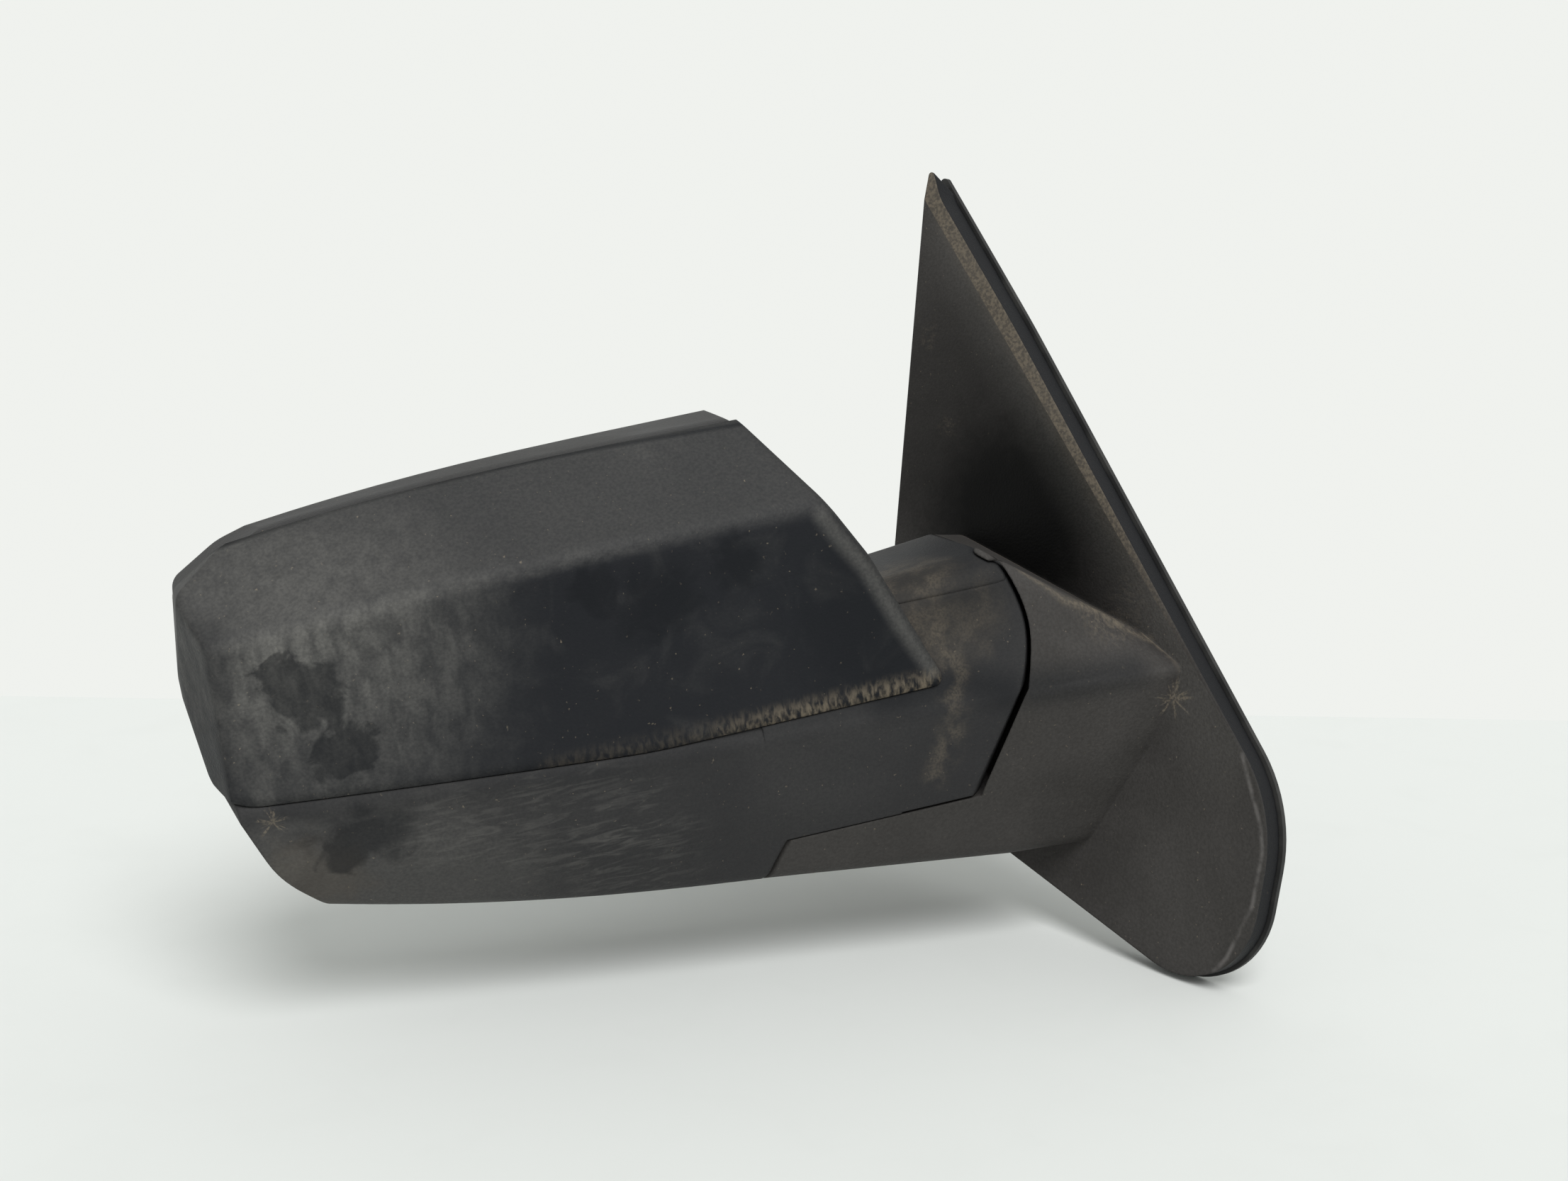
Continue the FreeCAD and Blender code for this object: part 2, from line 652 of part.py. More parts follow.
def rim_box(x, y, z):
    box = Part.makeBox(x[1] - x[0], y[1] - y[0], z[1] - z[0], V(x[0], y[0], z[0]))
    box.Placement = RIM
    return box


def rim_pin(radius, start, end):
    """Pin between two points of the rim frame."""
    a, b = RIM.multVec(V(*start)), RIM.multVec(V(*end))
    return Part.makeCylinder(radius, (b - a).Length, a, b - a)


def opening_outline(inset):
    """Outline of the rear opening at the mirror's depth, inset all round."""
    normal = RIM.Rotation.multVec(V(0, 0, 1))
    level = RIM.multVec(V(0, 0, -GLASS_RECESS)).dot(normal)
    w = RIM_WALL + inset
    form = head_form(w).common(slab((NECK_END + w, 500), (PART_DEPTH, 240), (-140, 260)))
    return max(form.slice(normal, level), key=lambda e: e.BoundBox.DiagonalLength)


def rim_layer(wire, top, thick):
    """Plate of an outline at the mirror's surface, moved forward by top."""
    face = Part.Face(wire)
    face.translate(RIM.Rotation.multVec(V(0, 0, -top)))
    return face.extrude(RIM.Rotation.multVec(V(0, 0, -thick)))


CARRIER_LIP = 1.3


def mirror_glass():
    return rim_layer(opening_outline(GLASS_GAP + CARRIER_LIP), 0, GLASS_THICK)


def heater_pad():
    return rim_layer(opening_outline(GLASS_GAP + CARRIER_LIP + 4), GLASS_THICK, HEATER_THICK)


def glass_carrier():
    """Backing plate: lip round the glass, ribs, fork for the gimbal and ball cups."""
    outer = opening_outline(GLASS_GAP)
    depth = GLASS_THICK + HEATER_THICK + CARRIER_THICK
    plate = rim_layer(outer, 0, depth)
    plate = plate.cut(rim_layer(opening_outline(GLASS_GAP + CARRIER_LIP), -1, 1 + GLASS_THICK))
    plate = plate.cut(rim_layer(opening_outline(GLASS_GAP + CARRIER_LIP + 4), 0,
                                GLASS_THICK + HEATER_THICK))
    back = CARRIER_BACK - CARRIER_THICK
    ribs = []
    for y in (-50, -18, 18, 50):
        ribs.append(rim_box((-84, 84), (y - 0.9, y + 0.9), (back - 4, back + 1)))
    for x in (-66, -18, 18, 66):
        ribs.append(rim_box((x - 0.9, x + 0.9), (-62, 62), (back - 4, back + 1)))
    for rib in ribs:
        plate = plate.fuse(rib)
    for x, y in PLUNGERS.values():
        plate = plate.fuse(rim_cylinder(BALL_R + BALL_SLACK + 2, PIVOT_Z - 2, back + 1, x, y))
    for side in (-1, 1):
        xs = sorted((side * FORK_NEAR, side * FORK_FAR))
        plate = plate.fuse(rim_box(xs, (-4.5, 4.5), (PIVOT_Z - 4, back + 1)))
    for x, y in PLUNGERS.values():
        plate = plate.cut(rim_cylinder(BALL_R + BALL_SLACK, PIVOT_Z - 10,
                                       PIVOT_Z + BALL_R + BALL_SLACK, x, y))
    bore = rim_pin(PIN_R + RUNNING_FIT, (-40, 0, PIVOT_Z), (40, 0, PIVOT_Z))
    return one(plate.cut(bore.common(rim_box((-15, 15), (-9, 9), (-60, 0)))))


def gimbal_cross():
    """Cross with two pairs of pins: upright in the drive, level in the carrier."""
    side = FORK_NEAR - 0.5
    body = rim_box((-side, side), (-side, side), (PIVOT_Z - 3, PIVOT_Z + 3))
    body = body.cut(rim_cylinder(4, -60, 0))
    for a, b in (((-FORK_FAR, 0), (-5, 0)), ((5, 0), (FORK_FAR, 0)), ((0, -FORK_FAR), (0, -5)),
                 ((0, 5), (0, FORK_FAR))):
        body = body.fuse(rim_pin(PIN_R, (a[0], a[1], PIVOT_Z), (b[0], b[1], PIVOT_Z)))
    return one(body)


def drive_cover():
    """Rear half of the actuator: fork for the gimbal and guides for the drive screws."""
    middle = (DRIVE_FRONT + DRIVE_BACK) / 2
    body = rim_cylinder(DRIVE_R, middle, DRIVE_BACK).fuse(
        rim_cylinder(DRIVE_R - 4, middle, DRIVE_BACK + 1))
    body = body.cut(rim_cylinder(DRIVE_R - 2, middle - 1, DRIVE_BACK - 2))
    for side in (-1, 1):
        ys = sorted((side * FORK_NEAR, side * FORK_FAR))
        body = body.fuse(rim_box((-4.5, 4.5), ys, (DRIVE_BACK - 3, PIVOT_Z + 4)))
    for x, y in PLUNGERS.values():
        body = body.fuse(rim_cylinder(PLUNGER_R + 2.5, middle + 1, DRIVE_BACK - 1, x, y))
    for x, y in PLUNGERS.values():
        body = body.cut(rim_cylinder(PLUNGER_R + RUNNING_FIT, middle - 5, 0, x, y))
        body = body.cut(rim_cylinder(BALL_R + 0.5, DRIVE_BACK - 0.5, 0, x, y))
    bore = rim_pin(PIN_R + RUNNING_FIT, (0, -40, PIVOT_Z), (0, 40, PIVOT_Z))
    return one(body.cut(bore.common(rim_box((-9, 9), (-15, 15), (-60, 0)))))


def drive_housing():
    """Front half of the actuator, with a floor and cradles for the two motors."""
    middle = (DRIVE_FRONT + DRIVE_BACK) / 2
    body = rim_cylinder(DRIVE_R, DRIVE_FRONT, middle)
    body = body.cut(rim_cylinder(DRIVE_R - 2, DRIVE_FRONT + 2, middle + 1))
    for (x0, y0, _), (x1, y1, _) in MOTORS:
        side_x = MOTOR_R + 1.5 if x0 == x1 else -4
        side_y = MOTOR_R + 1.5 if y0 == y1 else -4
        body = body.fuse(rim_box((x0 - side_x, x1 + side_x), (y0 - side_y, y1 + side_y),
                                 (DRIVE_FRONT + 1, MOTOR_Z - 2)))
    for start, end in MOTORS:
        body = body.cut(rim_pin(MOTOR_R, start, end))
    return one(body)


MOTOR_R = 7.0
MOTOR_Z = DRIVE_FRONT + 2 + MOTOR_R + 1.5
MOTORS = [((-30, -12, MOTOR_Z), (-4, -12, MOTOR_Z)), ((-14, 4, MOTOR_Z), (-14, 30, MOTOR_Z))]


def adjust_motor(index):
    """Small can motor with its stub shaft."""
    (x0, y0, z0), (x1, y1, z1) = MOTORS[index]
    length = math.hypot(x1 - x0, y1 - y0)
    dx, dy = (x1 - x0) / length, (y1 - y0) / length
    can = rim_pin(MOTOR_R, (x0, y0, z0), (x1, y1, z1))
    neck = rim_pin(2.5, (x1, y1, z1), (x1 + 1.5 * dx, y1 + 1.5 * dy, z1))
    shaft = rim_pin(1.0, (x1, y1, z1), (x1 + 7 * dx, y1 + 7 * dy, z1))
    return one(can.fuse(neck).fuse(shaft))


def plunger(name):
    """Drive screw with the ball that pushes the carrier."""
    x, y = PLUNGERS[name]
    stem = rim_cylinder(PLUNGER_R, DRIVE_FRONT + 8, PIVOT_Z, x, y)
    ball = Part.makeSphere(BALL_R, RIM.multVec(V(x, y, PIVOT_Z)))
    return one(stem.fuse(ball))


# ---- head frame -----------------------------------------------------------------------------
def head_frame():
    """Structural frame: pivot hub, arm, ribbed plate and seat for the actuator."""
    plate = rounded([(at(s, FRAME_FRONT, z), r) for (s, z), r in
                     (((146, -8), 6), ((300, 6), 20), ((372, 24), 14), ((368, 118), 14),
                      ((230, 124), 14), ((196, 72), 20), ((146, 62), 8))])
    body = prism(plate, at(0, FRAME_BACK, 0) - at(0, FRAME_FRONT, 0))
    for s, z, r in ((262, 104, 9), (262, 30, 9), (350, 104, 8), (350, 38, 8), (306, 70, 22)):
        hole = Part.makeCylinder(r, 20, at(s, FRAME_FRONT - 5, z), at(0, 1, 0) - at(0, 0, 0))
        body = body.cut(hole)
    body = body.fuse(rim_cylinder(DRIVE_R - 1, DRIVE_FRONT - 14, DRIVE_FRONT)
                     .cut(rim_cylinder(DRIVE_R - 9, -120, 0))
                     .common(slab((100, 460), (FRAME_FRONT + 1, 90), (-50, 200))))
    for low, high in ((-10, -6), (6, 10)):
        body = body.fuse(slab((PIVOT_S, 215), (FRAME_BACK - 1, 62), (low, high)))
    body = body.fuse(slab((PIVOT_S + 20, 215), (46, 50), (-10, 10)))
    for s, tip in ((236, 46), (344, 38)):
        fin = Part.makePolygon([at(s, d, z) for d, z in
                                ((FRAME_BACK - 2, 92), (tip - 16, 100), (tip, 150), (tip, 175),
                                 (tip - 12, 175), (FRAME_BACK - 2, 118), (FRAME_BACK - 2, 92))])
        body = body.fuse(prism(fin, at(5, 0, 0) - at(0, 0, 0)))
    body = body.fuse(cylinder(HUB_R, HUB_LOW, HUB_TOP))
    body = body.cut(cylinder(POST_R + RUNNING_FIT, -60, 100))
    body = body.cut(cylinder(POST_R + 9, HUB_TOP, 100))
    return one(body.common(head_body(HEAD_WALL).fuse(cylinder(HUB_R, HUB_LOW, 0))))


def housing_screws():
    """Screws through the frame into the bosses of the lower housing."""
    screws = []
    back = at(0, -1, 0) - at(0, 0, 0)
    for s, z in SCREW_PLACES:
        shank = Part.makeCylinder(1.9, 10, at(s, FRAME_BACK, z), back)
        head = Part.makeCylinder(4, 2.4, at(s, FRAME_BACK + 2.4, z), back)
        screws.append(one(shank.fuse(head)))
    return Part.makeCompound(screws)


def drive_screws():
    """Screws that hold the actuator to the frame's ring."""
    screws = []
    for i in range(3):
        a = math.radians(90 + 120 * i)
        x, y = (DRIVE_R - 5) * math.cos(a), (DRIVE_R - 5) * math.sin(a)
        shank = rim_cylinder(1.6, DRIVE_FRONT - 6, DRIVE_FRONT + 2, x, y)
        head = rim_cylinder(3.2, DRIVE_FRONT + 2, DRIVE_FRONT + 4, x, y)
        screws.append(one(shank.fuse(head)))
    return Part.makeCompound(screws)


# ---- build ----------------------------------------------------------------------------------
def build():
    cap = cap_shell(0.3).common(cap_zone(0.3))
    skin = head_shell()
    shapes = {
        "sail_cover": sail_cover(), "gasket": gasket(), "base_plate": base_plate(),
        "door_studs": door_studs(), "cover_screws": cover_screws(),
        "wire_grommet": wire_grommet(), "pivot_post": pivot_post(),
        "thrust_washer": thrust_washer(), "fold_spring": fold_spring(),
        "spring_retainer": spring_retainer(), "front_cap": front_cap(),
        "lower_housing": lower_housing(skin, cap), "rear_housing": rear_housing(skin, cap),
        "head_frame": head_frame(), "housing_screws": housing_screws(),
        "drive_screws": drive_screws(), "drive_housing": drive_housing(),
        "drive_cover": drive_cover(), "pan_motor": adjust_motor(0),
        "tilt_motor": adjust_motor(1), "pan_plunger": plunger("pan"),
        "tilt_plunger": plunger("tilt"), "gimbal_cross": gimbal_cross(),
        "glass_carrier": glass_carrier(), "heater_pad": heater_pad(),
        "mirror_glass": mirror_glass(),
    }
    for piece, piece_bolts in (("head_frame", ("housing_screws", "drive_screws")),
                               ("drive_housing", ("drive_screws",))):
        for bolts in piece_bolts:
            shapes[piece] = one(shapes[piece].cut(shapes[bolts]))
    return shapes


os.makedirs("parts", exist_ok=True)
for name, shape in build().items():
    shape.exportStep("parts/" + name + ".step")
    print(name, len(shape.Solids), round(shape.Volume), shape.isValid())
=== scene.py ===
import json
import math

import bpy
from mathutils import Matrix, Vector


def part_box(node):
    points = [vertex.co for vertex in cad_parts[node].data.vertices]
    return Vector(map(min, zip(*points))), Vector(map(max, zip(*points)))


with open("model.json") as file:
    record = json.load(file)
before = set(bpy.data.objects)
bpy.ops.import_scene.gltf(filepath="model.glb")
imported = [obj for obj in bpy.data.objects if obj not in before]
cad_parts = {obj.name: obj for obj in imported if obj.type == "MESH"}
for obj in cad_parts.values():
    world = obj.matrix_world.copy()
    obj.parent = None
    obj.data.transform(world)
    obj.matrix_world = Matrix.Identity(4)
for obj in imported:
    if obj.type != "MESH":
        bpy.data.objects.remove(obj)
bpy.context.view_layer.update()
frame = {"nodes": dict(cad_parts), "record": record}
nodes = frame["nodes"]


def spot(node, x, y, z):
    """The point at these fractions of a node's box."""
    low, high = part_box(node)
    return Vector([a + (b - a) * f for a, b, f in zip(low, high, (x, y, z))])


def trail(node, *fractions):
    """The points at these fractions of a node's box, in order."""
    return [spot(node, *f) for f in fractions]


# ---- material building blocks ---------------------------------------------------------------
class Finish:
    """A material whose colour is built up in coats, with roughness and grain."""

    def __init__(self, name, color, roughness, metallic=0.0, specular=0.5):
        self.material = bpy.data.materials.new(name)
        self.material.use_nodes = True
        self.tree = self.material.node_tree
        self.shader = self.tree.nodes["Principled BSDF"]
        self.shader.inputs["Base Color"].default_value = (*color, 1)
        self.shader.inputs["Roughness"].default_value = roughness
        self.shader.inputs["Metallic"].default_value = metallic
        self.shader.inputs["Specular IOR Level"].default_value = specular
        self.place = self.tree.nodes.new("ShaderNodeTexCoord").outputs["Object"]
        self.normal = self.tree.nodes.new("ShaderNodeTexCoord").outputs["Normal"]
        self.surface = color

    def feed(self, value, socket):
        if hasattr(value, "is_output"):
            self.tree.links.new(value, socket)
        elif isinstance(value, tuple) and len(value) == 3 and socket.type == "RGBA":
            socket.default_value = (*value, 1)
        else:
            socket.default_value = value

    def math(self, operation, a, b=0.0):
        node = self.tree.nodes.new("ShaderNodeMath")
        node.operation = operation
        self.feed(a, node.inputs[0])
        self.feed(b, node.inputs[1])
        return node.outputs[0]

    def product(self, first, *others):
        for other in others:
            first = self.math("MULTIPLY", first, other)
        return first

    def vector(self, operation, a, b=(0.0, 0.0, 0.0), output="Vector"):
        node = self.tree.nodes.new("ShaderNodeVectorMath")
        node.operation = operation
        self.feed(a, node.inputs[0])
        self.feed(b, node.inputs[1])
        return node.outputs[output]

    def ramp(self, value, low, high, start=0.0, end=1.0):
        """Smooth step from start to end as value goes from low to high."""
        node = self.tree.nodes.new("ShaderNodeMapRange")
        node.interpolation_type = "SMOOTHSTEP"
        for name, given in (("Value", value), ("From Min", low), ("From Max", high),
                            ("To Min", start), ("To Max", end)):
            self.feed(given, node.inputs[name])
        return node.outputs["Result"]

    def noise(self, size, detail=3.0, stretch=(1, 1, 1), twist=0.0):
        """Noise whose features are about size metres across, longer where stretch is small."""
        scaled = self.vector("MULTIPLY", self.place, tuple(float(s) for s in stretch))
        node = self.tree.nodes.new("ShaderNodeTexNoise")
        node.inputs["Scale"].default_value = 1 / size
        node.inputs["Detail"].default_value = detail
        node.inputs["Distortion"].default_value = twist
        self.tree.links.new(scaled, node.inputs["Vector"])
        return node.outputs["Fac"]

    def pebbles(self, size):
        node = self.tree.nodes.new("ShaderNodeTexVoronoi")
        node.inputs["Scale"].default_value = 1 / size
        self.feed(self.place, node.inputs["Vector"])
        return node.outputs["Distance"]

    def facing(self, direction):
        """1 where the surface faces this way, 0 edge on, -1 behind."""
        return self.vector("DOT_PRODUCT", self.normal, tuple(Vector(direction).normalized()),
                           "Value")

    def height(self):
        return self.vector("DOT_PRODUCT", self.place, (0.0, 0.0, 1.0), "Value")

    def near(self, point, radius, ragged=0.0, grain=0.012, inner=0.35):
        """1 within inner of the radius of a point, falling to 0 at radius, as ragged as asked."""
        distance = self.vector("DISTANCE", self.place, tuple(point), "Value")
        if ragged:
            wobble = self.math("SUBTRACT", self.noise(grain, 5, twist=0.8), 0.5)
            distance = self.math("ADD", distance, self.math("MULTIPLY", wobble, ragged))
        return self.ramp(distance, radius, radius * inner)

    def beside(self, path, width):
        """1 on a path of points, falling to 0 at width from it."""
        nearest = None
        for start, end in zip(path, path[1:]):
            axis = Vector(end) - Vector(start)
            offset = self.vector("SUBTRACT", self.place, tuple(start))
            share = self.vector("DOT_PRODUCT", offset, tuple(axis / axis.length_squared), "Value")
            share = self.math("MAXIMUM", self.math("MINIMUM", share, 1.0), 0.0)
            scaled = self.tree.nodes.new("ShaderNodeVectorMath")
            scaled.operation = "SCALE"
            scaled.inputs[0].default_value = tuple(axis)
            self.feed(share, scaled.inputs["Scale"])
            gap = self.vector("DISTANCE", offset, scaled.outputs["Vector"], "Value")
            nearest = gap if nearest is None else self.math("MINIMUM", nearest, gap)
        return self.ramp(nearest, width, 0.0)

    def rays(self, point, radius):
        """Streaks that spread from a point and fade out at radius."""
        outward = self.vector("SUBTRACT", self.place, tuple(point))
        bearing = self.vector("NORMALIZE", outward)
        node = self.tree.nodes.new("ShaderNodeTexNoise")
        node.inputs["Scale"].default_value = 3.5
        node.inputs["Detail"].default_value = 3
        self.tree.links.new(bearing, node.inputs["Vector"])
        reach = self.product(self.ramp(node.outputs["Fac"], 0.40, 0.72), radius)
        distance = self.vector("LENGTH", outward, output="Value")
        return self.ramp(self.math("SUBTRACT", distance, reach), radius * 0.35, -radius * 0.25)

    def coat(self, mask, color):
        """Lay a colour over what is there, where the mask is 1."""
        node = self.tree.nodes.new("ShaderNodeMix")
        node.data_type = "RGBA"
        self.feed(mask, node.inputs[0])
        self.feed(self.surface, node.inputs[6])
        self.feed(color, node.inputs[7])
        self.surface = node.outputs[2]
        return self

    def close(self, roughness, height, depth, strength=1.0, soft_edge=0.0):
        """Join the coats, the roughness and a bump of depth metres to the shader."""
        self.feed(self.surface, self.shader.inputs["Base Color"])
        self.feed(roughness, self.shader.inputs["Roughness"])
        bump = self.tree.nodes.new("ShaderNodeBump")
        bump.inputs["Strength"].default_value = strength
        bump.inputs["Distance"].default_value = depth
        self.feed(height, bump.inputs["Height"])
        if soft_edge:
            bevel = self.tree.nodes.new("ShaderNodeBevel")
            bevel.samples = 6
            bevel.inputs["Radius"].default_value = soft_edge
            self.tree.links.new(bevel.outputs["Normal"], bump.inputs["Normal"])
        self.tree.links.new(bump.outputs["Normal"], self.shader.inputs["Normal"])
        return self.material


# ---- grained black plastic with road dust ---------------------------------------------------
DUST = (0.290, 0.240, 0.175)     # tan road dust
FILM_AND_HIGHLIGHT = (0.245, 0.238, 0.221)     # dry grey film; also laid on as a painted highlight on the cap's crease and inboard edge
WORN = (0.248, 0.234, 0.228)     # film on the sail
CLEAN_AND_SHADE = (0.009, 0.010, 0.012)    # bare plastic, oiled or wiped; also laid on as painted shade
PAINTED_SHADE_BLACK = (0.002, 0.002, 0.002)    # painted shade on the sail just above the foot
STAIN = (0.095, 0.078, 0.060)
UPWARD = (0.05, -0.25, 1.0)
OUTBOARD = (-1.0, 0.0, 0.0)
PLASTIC_SHINE = 0.07
POWDER_GRAIN = 0.0014
SPECK = 0.0018
PEBBLE = 0.0011
WRINKLE = 0.0024
GRAIN_DEPTH = 0.00015


def grained(name, color, film, top, tone):
    """Moulded grain, a thin film of this tone all over and more where the surface faces up."""
    m = Finish(name, color, 0.5, specular=PLASTIC_SHINE)
    m.cloud = m.noise(0.07, 4, twist=0.4)
    m.powder = m.ramp(m.noise(POWDER_GRAIN, 3), 0.25, 0.75, 0.78, 1.22)
    m.coat(m.product(m.ramp(m.cloud, 0.3, 0.75, 0.5, 1.0), m.powder, film), tone)
    rising = m.ramp(m.facing(UPWARD), 0.15, 0.85)
    m.coat(m.product(rising, m.ramp(m.noise(0.06, 4), 0.25, 0.75, 0.8, 1.0), m.powder, top), tone)
    m.coat(m.product(m.ramp(m.noise(SPECK, 2), 0.70, 0.79), 0.36), DUST)
    return m


def grain_of(m):
    """Height of a leather-like grain with a few scratches."""
    scratch = m.ramp(m.noise(0.004, 2, stretch=(0.12, 0.12, 1)), 0.70, 0.78, 0.0, -0.6)
    return m.math("ADD", m.math("ADD", m.pebbles(PEBBLE), m.product(m.noise(WRINKLE, 2), 0.7)),
                  scratch)


def finish_plastic(m, soft_edge, wet=None):
    """Close with the moulded grain; wet places shine more."""
    dull = m.ramp(m.cloud, 0.3, 0.7, 0.46, 0.60)
    if wet is not None:
        dull = m.math("SUBTRACT", dull, m.product(wet, 0.14))
    return m.close(dull, grain_of(m), GRAIN_DEPTH, 0.7, soft_edge)


def cap_finish():
    """The front cap: dusty above its crease, dark below, with oil marks and a dirty sill, painted
    highlights on its crease and inboard edge and painted shade at its outboard end.
    """
    m = grained("cap_plastic", (0.013, 0.014, 0.017), 0.018, 0.135, FILM_AND_HIGHLIGHT)
    cap = "front_cap"
    level = m.facing((0, 0, 1))
    outboard = m.vector("DOT_PRODUCT", m.place, OUTBOARD, "Value")
    # painted highlight along the crease round, laid on as film where the edge wears
    crease = m.product(m.ramp(level, 0.05, 0.30), m.ramp(level, 0.72, 0.45),
                       m.ramp(outboard, -spot(cap, 0.90, 0, 0).x, -spot(cap, 0.3, 0, 0).x))
    m.coat(m.product(crease, m.ramp(m.noise(0.005, 4), 0.3, 0.7), m.powder, 0.09), FILM_AND_HIGHLIGHT)
    # dry film on the outboard part of the cap, thinned at the very end as painted shade
    dry = m.product(m.ramp(outboard, -spot(cap, 0.45, 0, 0).x, -spot(cap, 0.06, 0, 0).x),
                    m.ramp(outboard, -spot(cap, 0.045, 0, 0).x, -spot(cap, 0, 0, 0).x, 1.0, 0.55),
                    m.ramp(level, 0.20, 0.60, 1.0, 0.30),
                    m.ramp(m.height(), spot(cap, 0, 0, 0.10).z, spot(cap, 0, 0, 0.62).z, 0.5, 1.0))
    streaks = m.ramp(m.noise(0.006, 5, stretch=(1.0, 1.0, 0.5), twist=0.3), 0.30, 0.70, 0.45, 1.0)
    m.coat(m.product(dry, streaks, m.powder, 0.38), FILM_AND_HIGHLIGHT)
    smoke = m.ramp(m.noise(0.035, 5, twist=1.2), 0.50, 0.78)
    m.coat(m.product(smoke, m.powder, 0.06), FILM_AND_HIGHLIGHT)
    # painted shade down the corner of the cap's outboard end
    corner = trail(cap, (0.012, 0.80, 0.86), (0.020, 0.77, 0.62))
    m.coat(m.product(m.beside(corner, 0.012), 0.35), CLEAN_AND_SHADE)
    lifted = m.near(spot(cap, 0.20, 0.58, 0.60), 0.075, 0.05, 0.03)
    m.coat(m.product(lifted, streaks, m.powder, 0.10), FILM_AND_HIGHLIGHT)
    wet = m.near(spot(cap, 0.11, 0.684, 0.45), 0.0180, 0.026, 0.011, 0.70)
    for x, y, z, radius in ((0.150, 0.660, 0.24, 0.0145), (0.08, 0.70, 0.54, 0.0115),
                            (0.006, 0.885, 0.288, 0.010)):
        wet = m.math("MAXIMUM", wet, m.near(spot(cap, x, y, z), radius, 0.024, 0.011, 0.70))
    for x, y, z, radius in ((0.59, 0.28, 0.52, 0.024), (0.50, 0.33, 0.60, 0.014),
                            (0.70, 0.20, 0.60, 0.016)):
        wet = m.math("MAXIMUM", wet, m.near(spot(cap, x, y, z), radius, 0.03))
    m.coat(m.product(wet, 0.62), CLEAN_AND_SHADE)
    m.coat(m.product(m.near(spot(cap, 0.92, 0.03, 0.30), 0.060, 0.02), 0.55), CLEAN_AND_SHADE)
    seam = trail(cap, (0.09, 0.945, 0.914), (0.275, 0.809, 0.945), (0.547, 0.606, 0.997),
                 (0.845, 0.358, 0.985))
    m.coat(m.product(m.beside(seam, 0.0035), 0.9), CLEAN_AND_SHADE)
    # painted highlight along the cap's inboard edge, laid on as film
    edge = trail(cap, (0.834, 0.086, 0.694), (0.861, 0.070, 0.591), (0.892, 0.053, 0.485),
                 (0.926, 0.038, 0.319), (0.955, 0.024, 0.182), (0.985, 0.010, 0.06))
    m.coat(m.product(m.beside(edge, 0.0070), m.powder, 0.22), FILM_AND_HIGHLIGHT)
    sill = trail(cap, (0.42, 0.44, 0.01), (0.70, 0.21, 0.0), (0.99, 0.0, 0.0))
    smear = m.ramp(m.noise(0.0018, 4, stretch=(1, 1, 0.4), twist=0.4), 0.32, 0.70)
    heavy = m.near(spot(cap, 0.86, 0.10, 0.02), 0.080)
    m.coat(m.product(m.beside(sill, 0.012), smear, m.math("ADD", m.product(heavy, 0.45), 0.15)),
           DUST)
    return finish_plastic(m, 0.008, wet)


